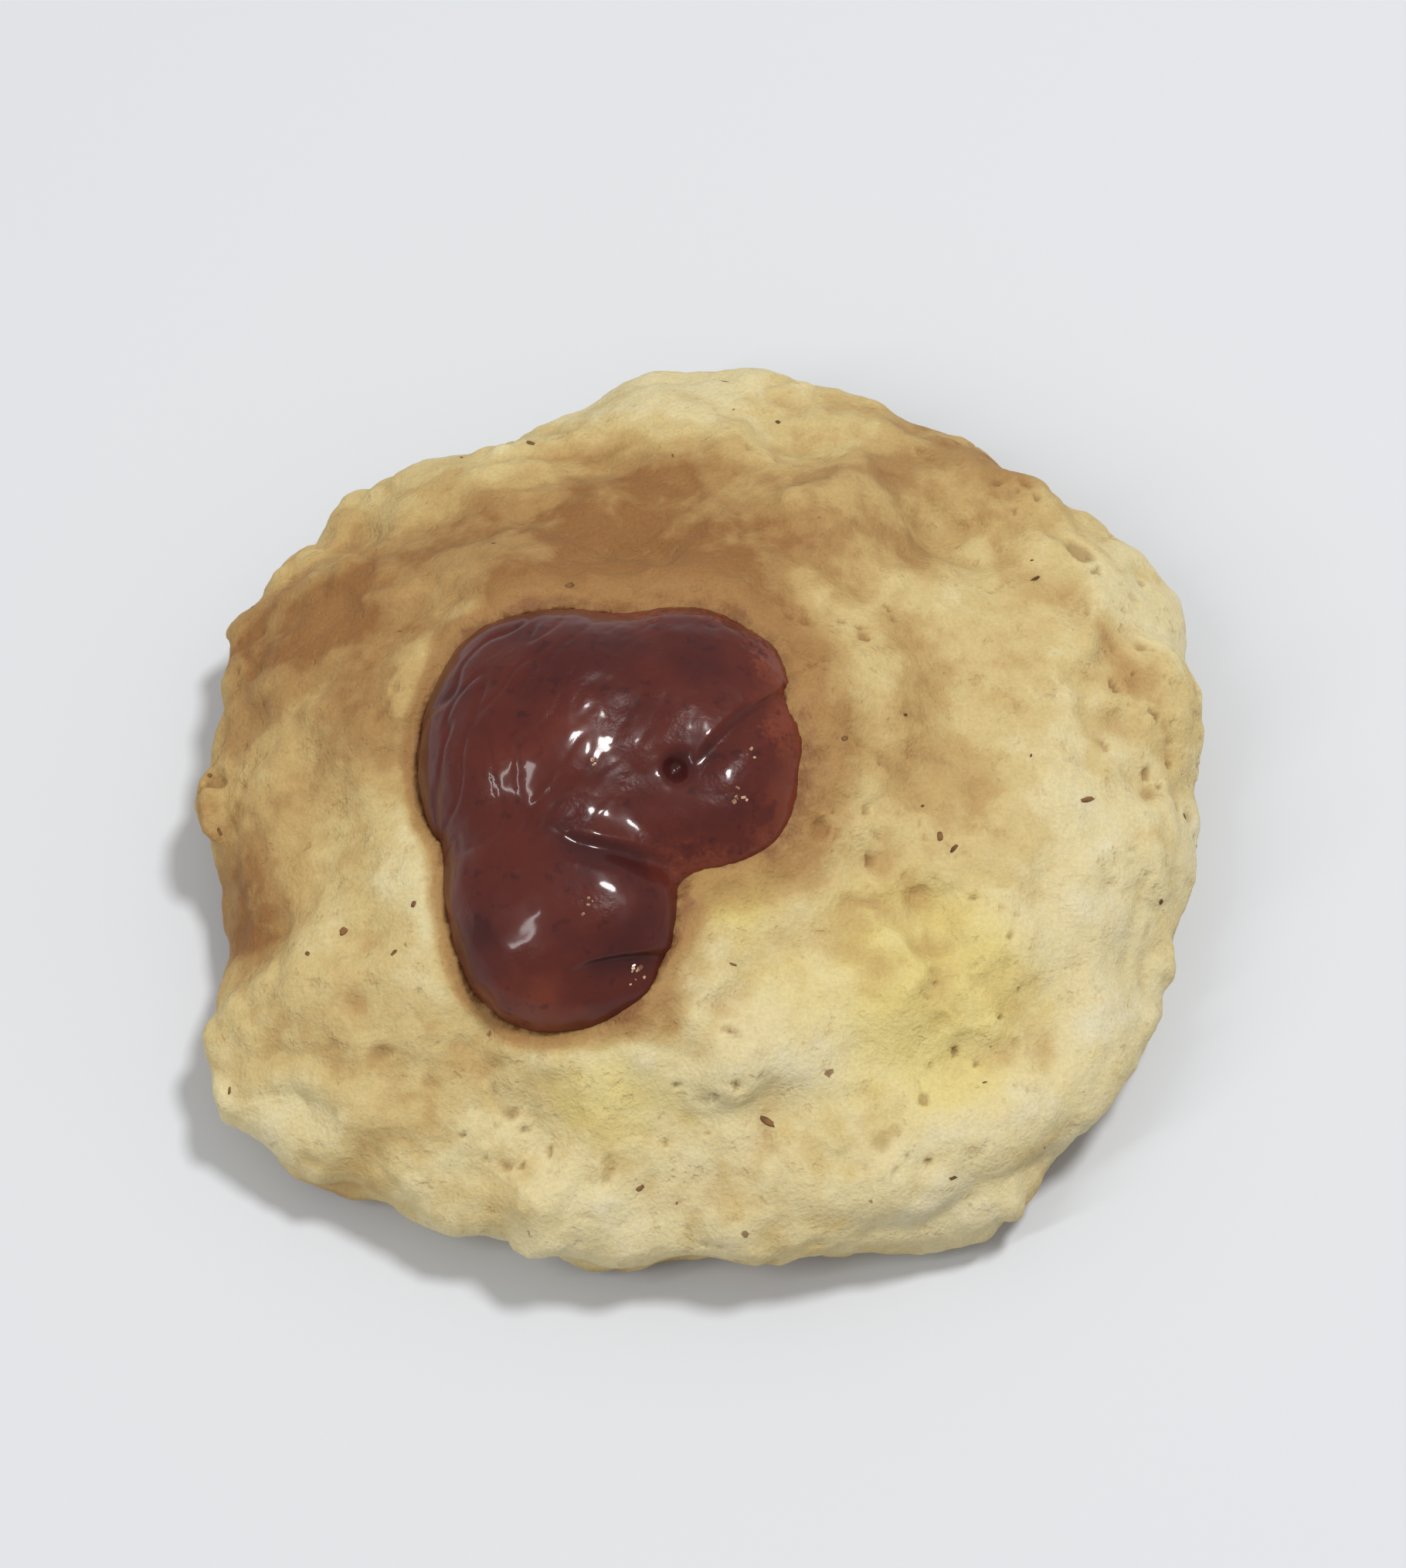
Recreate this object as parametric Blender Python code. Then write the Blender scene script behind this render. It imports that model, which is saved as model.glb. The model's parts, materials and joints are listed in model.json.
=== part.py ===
"""Cherry almond cookie: one drop cookie of pale almond dough with a glace cherry baked into its crown.

Metres, +Z up. The origin is on the surface that the cookie lies on, under the middle of its outline.
X runs across the cookie from left to right, and Y away from whoever looks at it.
"""

import math

import bmesh
import bpy
from mathutils import Vector, noise

# Dough: the mound as it comes off the baking sheet
EDGE_RADIUS = 0.0330
EDGE_HEIGHT = 0.0050
CROWN_HEIGHT = 0.0176
CROWN_FULLNESS = 1.18
UNDERSIDE_TURN = 1.9
DOUGH_GRID_CUTS = 31
SKIN_SMOOTHING_PASSES = 3
SKIN_SMOOTHING = 0.4

# The outline's slow waves: how many round the edge, share of the radius, and where one peaks in degrees
OUTLINE_WAVES = ((2, 0.008, 12.0), (3, 0.020, 42.0), (5, 0.014, 160.0), (7, 0.010, 300.0))

# Where the dough ran out further: the direction in degrees, how many degrees wide, and share of the radius
OUTLINE_BULGE = (215.0, 15.0, 0.16)

# Relief of the baked skin: the size of each form across, and how far it stands out or goes in
CLOD_SIZE = 0.0092
CLOD_RISE = 0.0026
CLOD_SOFTNESS = 5.0
CLOD_LEVEL = 0.15
SWELL_SIZE = 0.0150
SWELL_RISE = 0.0014
LUMP_SIZE = 0.0058
LUMP_RISE = 0.0010
PIT_SIZE = 0.0060
PIT_DEPTH = 0.0012
PIT_START = 0.12
PIT_FLOOR = 0.55
CREASE_SPACING = 0.0190
CREASE_SHARE = 0.20
CREASE_DEPTH = 0.0006
WARP_SIZE = 0.0120
WARP_REACH = 0.0022
WARP_SEED = 2
RELIEF_PLACE = Vector((0.458, 0.212, 0.614))

# The relief pushes more sideways than up at the rim, and dies away under it, where the dough lies flat
UPWARD_LEAN = 1.9
RIM_START = 0.6
RIM_WIDTH = 0.3

# The lip of dough that the baking pushed up round the cherry: how far out its crest is, its width and rise
LIP_OFFSET = 0.0012
LIP_WIDTH = 0.0036
LIP_RISE = 0.0018

# Cherry: one stoned glace cherry, pressed open into two cheeks at the back and a blunt lobe at the front.
# Each lobe has its middle and its radii; the last one squares off the front lobe's right corner
CHERRY_MIDDLE = Vector((-0.0060, -0.0029, 0.0144))
CHERRY_LOBES = (
    (Vector((-0.0034, 0.0018, 0.0)), Vector((0.0089, 0.0100, 0.0067))),
    (Vector((0.0042, 0.0020, 0.0)), Vector((0.0080, 0.0100, 0.0065))),
    (Vector((-0.0032, -0.0080, -0.0006)), Vector((0.0072, 0.0084, 0.0064))),
    (Vector((-0.0002, -0.0096, -0.0008)), Vector((0.0044, 0.0056, 0.0056))),
)
LOBE_BLEND = 7.0
CHERRY_REACH = 0.0220
SKIN_SEARCH_STEPS = 32
CHERRY_SEGMENTS = 44
CHERRY_RINGS = 24
DENT_SIZE = 0.0060
DENT_DEPTH = 0.0005

# The hole that the stone came out of, on the right cheek
STONE_HOLE_TOWARDS = Vector((0.70, -0.32, 1.0))
STONE_HOLE_RADIUS = 0.0017
STONE_HOLE_DEPTH = 0.0009

# The cherry's seat in the dough stays this far off it
SEAT_GAP = 0.0003

DOUGH_COLOUR = (0.60, 0.41, 0.18, 1.0)
DOUGH_ROUGHNESS = 0.8
CHERRY_COLOUR = (0.11, 0.022, 0.016, 1.0)
CHERRY_ROUGHNESS = 0.15


def clear_scene():
    for obj in list(bpy.data.objects):
        bpy.data.objects.remove(obj)


def new_collection(name):
    collection = bpy.data.collections.new(name)
    bpy.context.scene.collection.children.link(collection)
    return collection


def finish_of(name, colour, roughness):
    material = bpy.data.materials.new(name)
    material.use_nodes = True
    shader = material.node_tree.nodes["Principled BSDF"]
    shader.inputs["Base Color"].default_value = colour
    shader.inputs["Roughness"].default_value = roughness
    shader.inputs["Metallic"].default_value = 0.0
    return material


def object_from(name, shape, collection, material=None):
    mesh = bpy.data.meshes.new(name)
    shape.to_mesh(mesh)
    shape.free()
    mesh.shade_smooth()
    if material:
        mesh.materials.append(material)
    obj = bpy.data.objects.new(name, mesh)
    collection.objects.link(obj)
    return obj


def ease(value):
    """0 below 0, 1 above 1, and a smooth step between."""
    value = min(1.0, max(0.0, value))
    return value * value * (3.0 - 2.0 * value)


def edge_radius_at(angle):
    """How far the dough's edge is from its middle, seen from above."""
    waves = sum(
        share * math.cos(count * (angle - math.radians(peak)))
        for count, share, peak in OUTLINE_WAVES
    )
    towards, width, share = OUTLINE_BULGE
    aside = math.remainder(angle - math.radians(towards), math.tau) / math.radians(width)
    bulge = share * math.exp(-(aside**2))
    return EDGE_RADIUS * (1.0 + waves + bulge)


def smooth_dough_point(direction):
    """Where a direction of the unit sphere meets the dough before it gets its relief."""
    angle = math.atan2(direction.y, direction.x)
    out = edge_radius_at(angle) * math.hypot(direction.x, direction.y)
    if direction.z >= 0.0:
        crown_rise = CROWN_HEIGHT - EDGE_HEIGHT
        height = EDGE_HEIGHT + crown_rise * direction.z**CROWN_FULLNESS
    else:
        turn = min(1.0, -direction.z * UNDERSIDE_TURN)
        height = EDGE_HEIGHT * (1.0 - math.sin(turn * math.pi / 2.0))
    return Vector((out * math.cos(angle), out * math.sin(angle), height))


def dough_relief(point):
    """How far the skin stands out of the smooth dough here: soft clods, swells and lumps, less the creases."""
    place = point + RELIEF_PLACE
    drift = noise.noise_vector(place / WARP_SIZE) * WARP_REACH
    distances = noise.voronoi((place + drift) / CLOD_SIZE)[0]
    nearness = sum(math.exp(-CLOD_SOFTNESS * distance) for distance in distances)
    clod = CLOD_RISE * (CLOD_LEVEL + math.log(nearness) / CLOD_SOFTNESS)
    swell = SWELL_RISE * noise.noise(place / SWELL_SIZE)
    lump = LUMP_RISE * noise.noise(place / LUMP_SIZE)
    pit_share = (noise.noise((place - drift) / PIT_SIZE) - PIT_START) / (PIT_FLOOR - PIT_START)
    pit = PIT_DEPTH * ease(pit_share)
    across_crease = abs(noise.noise((place + drift) / CREASE_SPACING)) / CREASE_SHARE
    crease = CREASE_DEPTH * ease(1.0 - across_crease)
    return clod + swell + lump - pit - crease


def lip_rise(point):
    """The raised collar of dough just outside the cherry, which follows the cherry's outline."""
    aside = Vector((point.x - CHERRY_MIDDLE.x, point.y - CHERRY_MIDDLE.y, 0.0))
    past_cherry = aside.length - round_cherry_radius(aside.normalized())
    return LIP_RISE * math.exp(-(((past_cherry - LIP_OFFSET) / LIP_WIDTH) ** 2))


def dough_point(direction):
    """The finished skin: relief pushes the smooth dough out along its slope, and the underside stays flat."""
    point = smooth_dough_point(direction)
    sideways = math.hypot(direction.x, direction.y)
    if point.z <= 0.0:
        outwards = Vector((direction.x, direction.y, 0.0))
        share = ease((sideways - RIM_START) / RIM_WIDTH)
    else:
        upwards = UPWARD_LEAN * max(0.0, direction.z)
        outwards = Vector((direction.x, direction.y, upwards)).normalized()
        share = 1.0
    point += outwards * (dough_relief(point) * share)
    if direction.z > 0.0:
        point.z += lip_rise(point)
    point.z = max(0.0, point.z)
    return point


def round_cherry_radius(direction):
    """Distance from the cherry's middle to the skin of its lobes, blended softly where they meet."""
    inner, outer = 0.0, CHERRY_REACH
    for _ in range(SKIN_SEARCH_STEPS):
        reach = (inner + outer) / 2.0
        fill = 0.0
        for middle, radii in CHERRY_LOBES:
            offset = direction * reach - middle
            share = sum((offset[axis] / radii[axis]) ** 2 for axis in range(3))
            fill += math.exp(LOBE_BLEND * (1.0 - share))
        if fill > 1.0:
            inner = reach
        else:
            outer = reach
    return inner


def cherry_radius(direction):
    """The same, with the shallow dents of candied skin and the hole that the stone came out of."""
    radius = round_cherry_radius(direction)
    skin = direction * radius
    dents = DENT_DEPTH * noise.noise((skin + RELIEF_PLACE) / DENT_SIZE)
    hole_axis = STONE_HOLE_TOWARDS.normalized()
    along_axis = skin.dot(hole_axis)
    if along_axis <= 0.0:
        return radius + dents
    off_axis = (skin - hole_axis * along_axis).length
    hole = STONE_HOLE_DEPTH * math.exp(-((off_axis / STONE_HOLE_RADIUS) ** 2))
    return radius + dents - hole


def cherry_shape(clearance):
    """The cherry's skin, moved out by the clearance."""
    shape = bmesh.new()
    bmesh.ops.create_uvsphere(
        shape, u_segments=CHERRY_SEGMENTS, v_segments=CHERRY_RINGS, radius=1.0
    )
    for vertex in shape.verts:
        direction = vertex.co.normalized()
        vertex.co = CHERRY_MIDDLE + direction * (cherry_radius(direction) + clearance)
    return shape


def dough_shape():
    """A cube's grid, rounded to a sphere and then drawn out to the mound, with its flat underside made one face."""
    shape = bmesh.new()
    bmesh.ops.create_cube(shape, size=2.0)
    bmesh.ops.subdivide_edges(
        shape, edges=shape.edges, cuts=DOUGH_GRID_CUTS, use_grid_fill=True
    )
    for vertex in shape.verts:
        vertex.co = dough_point(vertex.co.normalized())
    skin = [vertex for vertex in shape.verts if vertex.co.z > 0.0]
    for _ in range(SKIN_SMOOTHING_PASSES):
        bmesh.ops.smooth_vert(
            shape, verts=skin, factor=SKIN_SMOOTHING, use_axis_x=True, use_axis_y=True, use_axis_z=True
        )
    underside = [
        face for face in shape.faces if all(vertex.co.z <= 0.0 for vertex in face.verts)
    ]
    bmesh.ops.dissolve_faces(shape, faces=underside, use_verts=True)
    return shape


def make_cherry(collection):
    finish = finish_of("Glace cherry", CHERRY_COLOUR, CHERRY_ROUGHNESS)
    return object_from("cherry", cherry_shape(0.0), collection, finish)


def make_seat_cutter(collection):
    cutter = object_from("cherry_seat", cherry_shape(SEAT_GAP), collection)
    cutter.hide_render = True
    cutter.display_type = "WIRE"
    return cutter


def make_dough(collection, seat):
    finish = finish_of("Baked dough", DOUGH_COLOUR, DOUGH_ROUGHNESS)
    dough = object_from("dough", dough_shape(), collection, finish)
    cut = dough.modifiers.new("Cherry seat", "BOOLEAN")
    cut.operation = "DIFFERENCE"
    cut.solver = "EXACT"
    cut.object = seat
    return dough


def centre_over_origin(outline, pieces):
    """Moves the pieces together until the middle of the outline's width and depth is over the origin."""
    corners = [Vector(corner) for corner in outline.bound_box]
    for axis in range(2):
        places = [corner[axis] for corner in corners]
        middle = (min(places) + max(places)) / 2.0
        for piece in pieces:
            piece.location[axis] -= middle


def main():
    clear_scene()
    noise.seed_set(WARP_SEED)
    cookie = new_collection("Cherry almond cookie")
    cutters = new_collection("Cutters")
    seat = make_seat_cutter(cutters)
    dough = make_dough(cookie, seat)
    cherry = make_cherry(cookie)
    centre_over_origin(dough, (dough, cherry, seat))


main()
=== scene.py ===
"""Looks of a cherry almond cookie: pale baked dough, browned here and there, with a glossy glace cherry.

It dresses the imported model's two nodes, the dough and the cherry. Metres, +Z up, and the viewer stands
at -Y.
"""

import json
import math
import random

import bpy
from mathutils import Matrix, Vector, noise
from mathutils.bvhtree import BVHTree

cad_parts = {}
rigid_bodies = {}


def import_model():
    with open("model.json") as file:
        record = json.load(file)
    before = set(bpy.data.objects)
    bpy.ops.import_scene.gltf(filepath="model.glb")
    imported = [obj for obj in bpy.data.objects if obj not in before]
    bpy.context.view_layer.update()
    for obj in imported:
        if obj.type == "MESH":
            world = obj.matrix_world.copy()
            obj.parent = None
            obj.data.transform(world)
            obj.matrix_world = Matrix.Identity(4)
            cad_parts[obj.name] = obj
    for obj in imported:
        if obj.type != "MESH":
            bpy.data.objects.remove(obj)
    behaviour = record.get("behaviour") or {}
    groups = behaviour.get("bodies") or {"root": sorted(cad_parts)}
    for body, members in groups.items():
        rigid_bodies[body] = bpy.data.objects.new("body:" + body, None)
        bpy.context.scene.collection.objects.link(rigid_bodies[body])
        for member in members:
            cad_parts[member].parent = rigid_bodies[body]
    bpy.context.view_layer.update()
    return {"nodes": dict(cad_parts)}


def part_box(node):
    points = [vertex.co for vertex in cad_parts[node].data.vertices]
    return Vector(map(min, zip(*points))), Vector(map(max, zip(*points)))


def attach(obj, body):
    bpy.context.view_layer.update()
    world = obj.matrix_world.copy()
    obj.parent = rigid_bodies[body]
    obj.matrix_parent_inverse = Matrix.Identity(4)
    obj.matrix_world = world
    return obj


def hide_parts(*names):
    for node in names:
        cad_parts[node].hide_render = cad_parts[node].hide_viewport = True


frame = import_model()

UP = Vector((0.0, 0.0, 1.0))

# View: the photograph looks down steeply at the cookie, from about a forearm's length
VIEW_ELEVATION = math.radians(64.0)
VIEW_DISTANCE = 0.33
VIEW_WIDTH = 0.090
VIEW_MIDDLE = Vector((0.0, 0.0, 0.0075))
VIEW_NEAREST = 0.01
SENSOR_WIDTH = 36.0

# Light: a soft lamp overhead, a narrow window low on the left, and an even room
LAMP_PLACE = Vector((0.19, 0.10, 0.61))
LAMP_SIZE = (0.12, 0.12)
LAMP_POWER = 2.75
WINDOW_PLACE = Vector((-0.28, -0.155, 0.36))
WINDOW_SIZE = (0.028, 0.34)
WINDOW_POWER = 0.62
ROOM_COLOUR = (1.0, 0.99, 0.975, 1.0)
ROOM_STRENGTH = 0.53
FLOOR_WIDTH = 3.0
FLOOR_COLOUR = (0.568, 0.583, 0.605, 1.0)
FLOOR_ROUGHNESS = 0.7

# Meshes: how fine the two large pieces are, and how much they are softened
MERGE_DISTANCE = 0.000005
SMOOTHING = 0.5
DOUGH_VOXEL = 0.00031
DOUGH_SMOOTHING_ROUNDS = 6
CHERRY_VOXEL = 0.00023
CHERRY_SMOOTHING_ROUNDS = 60

# Dough: where its base is cut flat, how it grips the cherry, and how its relief fades out at both
BASE_CUT = 0.00012
CUT_TOLERANCE = 1.01
BASE_FADE = 0.0014
LIP_CLEAR = 0.0002
LIP_FADE = 0.0012
LIP_GRIP = 0.00060
GRIP_DEPTH = 0.00006

# The relief that baking left in its skin: the name, size across, detail and height of each layer
SKIN_RELIEF = (
    ("Soft lumps", 0.0056, 1, 0.00115),
    ("Small lumps", 0.0027, 1, 0.00046),
    ("Crumb", 0.0011, 1, 0.00017),
    ("Grain", 0.0007, 0, 0.00006),
)
FOLDS = ("Folds", 0.0062, 1, 0.00090)
CRAGS = ("Crags", 0.0030, 0, 0.00055)
DOUGH_RELIEF_UNIT = 0.0005

# Folds and crags come in patches: a patch's size, and its noise's height where they start and are full
FOLD_PATCH = 0.0120
FOLD_START = -0.05
FOLD_FULL = 0.40
CRAG_PATCH = 0.0085
CRAG_START = 0.10
CRAG_FULL = 0.50
CRAG_RIM_SHARE = 0.15
CRAG_RIM_FADE = 0.014

# Pits: irregular hollows that steam left in the skin, in patches. Each kind has its size across, and the
# height of its noise where it starts and where it is deepest
PIT_PATCH = 0.0105
PIT_PATCH_START = 0.04
PIT_PATCH_FULL = 0.39
PIT_KINDS = ((0.0017, 0.36, 0.78), (0.0009, 0.40, 0.72))
PIT_DEPTH = 0.00042

# Clods: bits of dough that stand proud of the skin, most of them along the rim
RIM_START = 0.018
CLOD_SEED = 44
CLOD_COUNT = 40
CLOD_RADIUS = (0.0009, 0.0026)
CLOD_STRETCH = (0.8, 1.5)
CLOD_FLATNESS = 0.55
CLOD_ROUGHNESS = 0.15
CLOD_SINK = 0.35
CLOD_LOWEST = 0.0015
CLOD_STEEPEST = -0.1
CLOD_CLEAR = 0.0035
CLOD_RIM_FADE = 0.012
CLOD_INNER_SHARE = 0.12

# Browning and painted shade: where the dough took colour in the oven, from 0, pale, to 1, toasted, and where
# shade is painted in. Each spot has a place, how far it reaches, and how much it adds
BROWNING_PALE = 0.24
PATCH_SIZE = 0.0115
PATCH_PLACE = Vector((2.1, 0.4, 1.3))
PATCH_BROWNING = 0.20
FLANK_HEIGHT = 0.006
FLANK_BROWNING = 0.20
FOOT_HEIGHT = 0.0035
FOOT_WAVE = 0.002
FOOT_FADE = 0.003
FOOT_BROWNING = 0.20
# The spots behind the cherry and to its left, and the small one low on the far left, are partly painted
# shadow
TOASTED_AND_SHADED_SPOTS = (
    (Vector((0.017, 0.025, 0.008)), 0.018, 0.42),
    # Behind the cherry: toasted, and partly painted shadow
    (Vector((-0.005, 0.014, 0.016)), 0.019, 0.74),
    (Vector((0.011, 0.014, 0.014)), 0.006, 0.15),
    (Vector((-0.028, 0.003, 0.010)), 0.021, 0.50),
    (Vector((-0.0208, 0.0016, 0.013)), 0.006, 0.15),
    (Vector((-0.021, 0.014, 0.012)), 0.017, 0.44),
    (Vector((0.015, 0.011, 0.014)), 0.017, 0.36),
    (Vector((0.0155, -0.004, 0.015)), 0.013, 0.34),
    (Vector((-0.019, -0.019, 0.010)), 0.017, 0.19),
    # Low on the far left: a painted shadow in a crease
    (Vector((-0.029, -0.0095, 0.0065)), 0.008, 0.50),
    (Vector((-0.0305, -0.0165, 0.004)), 0.005, 0.24),
    (Vector((-0.006, -0.022, 0.010)), 0.008, 0.22),
    (Vector((0.002, -0.011, 0.016)), 0.006, 0.22),
)

# Butter: where it yellowed the dough, as a place and how far it reached
BUTTER_SPOTS = (
    (Vector((0.013, -0.0175, 0.0115)), 0.014),
    (Vector((0.015, -0.0205, 0.010)), 0.007),
    (Vector((-0.005, -0.022, 0.010)), 0.008),
    (Vector((0.002, -0.011, 0.016)), 0.006),
)

# Juice: how far the cherry's syrup soaked into the dough, least and most, and where it went most
JUICE_REACH = (0.0016, 0.0050)
JUICE_TOWARDS = Vector((0.90, 0.44, 0.0))
JUICE_LEAN = 0.6
JUICE_PATCH = 0.0042
JUICE_UNEVENNESS = 0.5

# Cherry: it swells to close the gap to its seat. Its dents have a name, size across, detail and height
CHERRY_SWELL = 0.00042
CHERRY_RELIEF = (
    ("Dents", 0.0056, 0, 0.00045),
    ("Dimples", 0.0021, 0, 0.00015),
    ("Puckers", 0.0010, 0, 0.00005),
)
CHERRY_RELIEF_UNIT = 0.0002

# Wrinkles: the candied skin shrank into long thin ones on the left, behind its front lobe's end
WRINKLE_DEPTH = 0.00014
WRINKLE_LENGTH = 0.0052
WRINKLE_SPACING = 0.0017
WRINKLE_SHARPNESS = 0.16
WRINKLE_LEAN = 0.5
WRINKLE_LEFT = 0.35
WRINKLE_FRONT = -0.0125

# Its creases, from one end to the other: across the right cheek, behind the front lobe, and low on that lobe
CREASES = (
    (Vector((0.0057, 0.0011, 0.0)), Vector((-0.0002, -0.0047, 0.0))),
    (Vector((-0.0020, -0.0112, 0.0)), Vector((-0.0090, -0.0092, 0.0))),
    (Vector((-0.0020, -0.0162, 0.0)), Vector((-0.0078, -0.0184, 0.0))),
)
CREASE_WIDTH = 0.00065
CREASE_SLOPE = 3.0
CREASE_DEPTH = 0.00060
CREASE_OVERRUN = 0.4

# The rim of the hole that its stone came out of
HOLE_PLACE = Vector((-0.0017, -0.0051, 0.0))
HOLE_RADIUS = 0.0013
HOLE_RAGGEDNESS = 0.35
HOLE_DEPTH = 0.00080

# Where light comes through the cherry: in from its rim, at the foot of its front lobe, and right and back
RIM_REACH = 0.0032
RIM_GLOW = 0.55
FOOT_START = -0.0155
FOOT_GLOW = 0.70
SIDE_LEAN = 0.6
SIDE_START = 0.45
SIDE_GLOW = 0.38

# Where sugar crystallised in its skin: a broken band just off the dough, on the right and back
CRYSTAL_CLEAR = 0.0012
CRYSTAL_BAND = 0.0026
CRYSTAL_LEAN = 0.5
CRYSTAL_START = 0.30
CRYSTAL_PATCH = 0.003
CRYSTAL_COVER = 0.6
CRYSTAL_CONTRAST = 1.2
CRYSTAL_HEIGHT = 0.00020
CRYSTAL_SIZE = 0.00050

# Flecks of almond skin in the dough
FLECK_SEED = 23
FLECK_COUNT = 38
FLECK_LENGTH = (0.00022, 0.00080)
FLECK_WIDTH = (0.30, 0.75)
FLECK_THICKNESS = 0.00003
FLECK_ROUGHNESS = 0.14
FLECK_LOWEST = 0.001
FLECK_STEEPEST = -0.2
FLECK_CLEAR = 0.001

# The largest flecks: the place, the length and which way it lies
LARGE_FLECKS = (
    (Vector((0.0039, -0.0242, 0.0100)), 0.0015, math.radians(-28.0)),
    (Vector((0.0230, -0.0033, 0.0110)), 0.0012, math.radians(-50.0)),
    (Vector((0.0212, 0.0122, 0.0110)), 0.0009, math.radians(60.0)),
)
LARGE_FLECK_WIDTH = 0.30
LARGE_FLECK_THICKNESS = 0.00014

# Sugar grains on the cherry: the place of each group from left to right and front to back, and its count
SUGAR_SEED = 5
SUGAR_GROUPS = (
    (0.0022, -0.0069, 6),
    (0.0028, -0.0043, 3),
    (-0.0041, -0.0173, 9),
    (-0.0072, -0.0142, 4),
    (-0.0065, -0.0053, 4),
)
SUGAR_REACH = 0.00024
SUGAR_WIDTH = (0.00012, 0.00032)
SUGAR_STRETCH = (0.5, 1.0)
SUGAR_FLATNESS = 0.6
SUGAR_TILT = 0.5
SUGAR_BEVEL = 0.16
WELL_ABOVE = 0.05

# Colours, from the palest to the most baked dough, and from the cherry's depths to where light comes through
BROWNING_COLOURS = (
    (0.00, (0.605, 0.540, 0.355, 1.0)),
    (0.25, (0.590, 0.500, 0.275, 1.0)),
    (0.45, (0.520, 0.400, 0.180, 1.0)),
    (0.63, (0.440, 0.300, 0.118, 1.0)),
    (0.82, (0.335, 0.196, 0.070, 1.0)),
    (1.00, (0.240, 0.112, 0.034, 1.0)),
)
CHERRY_COLOURS = (
    (0.0, (0.046, 0.0086, 0.0078, 1.0)),
    (0.5, (0.082, 0.0140, 0.0092, 1.0)),
    (1.0, (0.148, 0.0310, 0.0145, 1.0)),
)
FLECK_COLOURS = ((0.3, (0.085, 0.036, 0.012, 1.0)), (0.7, (0.21, 0.105, 0.038, 1.0)))
SUGAR_COLOURS = ((0.35, (0.17, 0.06, 0.035, 1.0)), (0.65, (0.50, 0.31, 0.18, 1.0)))
# Painted shade in the crumb's pores
PORE_SHADE_COLOUR = (0.38, 0.21, 0.075, 1.0)
BUTTER_COLOUR = (0.605, 0.495, 0.160, 1.0)
# Painted shade in the relief's hollows
HOLLOW_SHADE_COLOUR = (0.350, 0.185, 0.066, 1.0)
# Painted shade in the pits
PIT_SHADE_COLOUR = (0.210, 0.105, 0.036, 1.0)
SPECK_COLOUR = (0.165, 0.082, 0.032, 1.0)
HALO_COLOUR = (0.315, 0.170, 0.058, 1.0)
STAIN_COLOUR = (0.190, 0.078, 0.024, 1.0)

# Patterns in the materials: the size of each across
CRUMB_SIZE = 0.0010
FINE_CRUMB_SIZE = 0.00026
PORE_SIZE = 0.0014
CLOUD_SIZE = 0.0062
MOTTLE_SIZE = 0.0022
JUICE_EDGE_SIZE = 0.0024
BUTTER_SMEAR_SIZE = 0.0050
SPECK_SPACING = 0.0026
SPECK_EDGE_SIZE = 0.0004
FLESH_SIZE = 0.0080
FRECKLE_SIZE = 0.0012
CRYSTAL_GRAIN_SIZE = 0.00040
CRINKLE_PATCH = 0.0030
CRINKLE_SIZE = 0.00045
RIPPLE_SIZE = 0.0016
FLECK_TONE_SIZE = 0.0010
FLECK_GRAIN_SIZE = 0.0002
SUGAR_TONE_SIZE = 0.0006

# Where each pattern or layer starts to show, and where it shows in full, by its own height or strength
PORE_EDGE = (0.58, 0.72)
GRAIN_EDGE = (0.3, 0.7)
JUICE_EDGE = (0.0, 0.80)
HALO_EDGE = (0.05, 0.95)
STAIN_EDGE = (0.84, 1.12)
WET_EDGE = (0.80, 1.04)
BUTTER_EDGE = (0.1, 0.95)
HOLLOW_SHADE_EDGE = (-0.5, -1.8)
PIT_SHADE_EDGE = (0.10, 1.0)
SPECK_CHOICE = (0.66, 1.0)
SPECK_EDGE = (0.0, 0.05)
FLESH_EDGE = (0.28, 0.74)
FRECKLE_EDGE = (0.58, 0.72)
CRYSTAL_EDGE = (0.0, 1.0)
CRINKLE_EDGE = (0.42, 0.62)

# How strongly they show in the crumb's height, in the browning, and in the ragged edges of the layers
FINE_CRUMB_HEIGHT = 0.45
PORE_HEIGHT = -0.35
CLOUD_BROWNING = 0.85
MOTTLE_BROWNING = 0.35
# Painted shade: the relief's hollows are browned darker, its raised parts paler
DOUGH_RELIEF_SHADE = -0.10
JUICE_BROWNING = 0.36
JUICE_RAGGEDNESS = 1.1
BUTTER_RAGGEDNESS = 1.2
SPECK_RAGGEDNESS = 0.22

# How dark and how light the crumb's grain makes the dough, and the radius of its largest specks, in cells
GRAIN_TONE = (0.93, 1.03)
SPECK_RADIUS = 0.12

# How much of each layer's colour covers the dough where the layer is strongest
PORE_SHADE_COVER = 0.25
BUTTER_COVER = 0.62
HOLLOW_SHADE_COVER = 0.50
PIT_SHADE_COVER = 0.46
SPECK_COVER = 0.80
HALO_COVER = 0.88
STAIN_COVER = 0.80

# How much each pattern lightens the cherry's flesh, or darkens it
FLESH_LIGHT = 0.60
# Painted light and shade: raised skin lighter, dents and creases darker
CHERRY_RELIEF_SHADE_AND_LIGHT = 0.09
GLOW_LIGHT = 0.50
FRECKLE_LIGHT = -0.30
CRYSTAL_LIGHT = 2.6

# How high its ripples are beside its crinkles, and how high the crinkles stay between their patches
RIPPLE_HEIGHT = 1.2
CRINKLE_LEAST = 0.15

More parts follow.
